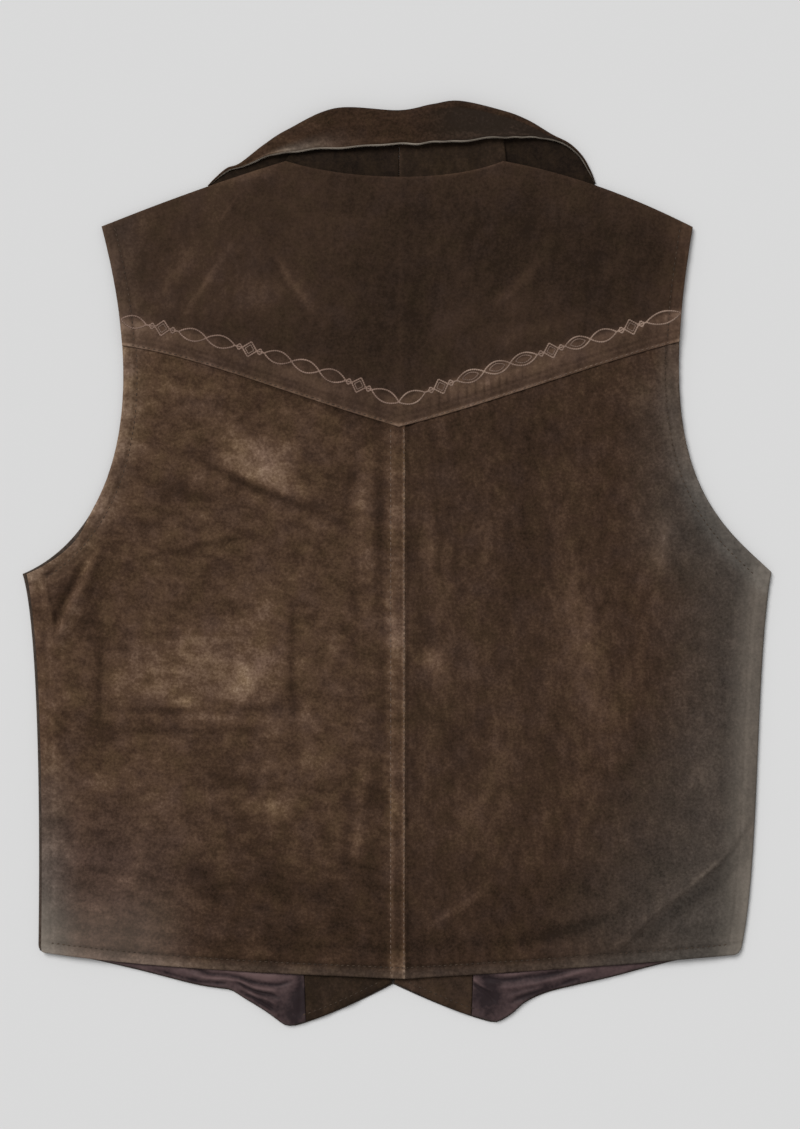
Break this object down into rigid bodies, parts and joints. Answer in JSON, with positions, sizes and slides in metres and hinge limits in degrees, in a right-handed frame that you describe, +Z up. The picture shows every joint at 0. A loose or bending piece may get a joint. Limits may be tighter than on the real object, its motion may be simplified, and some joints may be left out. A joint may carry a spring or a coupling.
{
  "type": "suede vest",
  "caption": "Waist-length brown suede vest laid out face down, with a pointed back yoke, turned-over collar, lapped centre-back seam and pointed satin-lined fronts.",
  "frame": {"origin": "on the surface that the vest lies on, under the middle of its outline", "axes": "+X towards the wearer's right, +Y up the back towards the collar, +Z up, out of the back"},
  "size_m": [0.57, 0.703, 0.0112],
  "materials": {
    "suede": "matt brushed suede, rubbed lighter on the raised places",
    "facing_suede": "matt suede, less worn than the outside",
    "lining": "soft satin sheen"
  },
  "bodies": {
    "root": {"back_yoke": "suede", "back_left": "suede", "back_right": "suede", "front_left": "suede", "front_right": "suede", "lapel_left": "suede", "lapel_right": "suede", "collar_fall": "suede", "undercollar_left": "facing_suede", "undercollar_right": "facing_suede", "facing_left": "facing_suede", "facing_right": "facing_suede", "lining_left": "lining", "lining_right": "lining"}
  },
  "joints": []
}
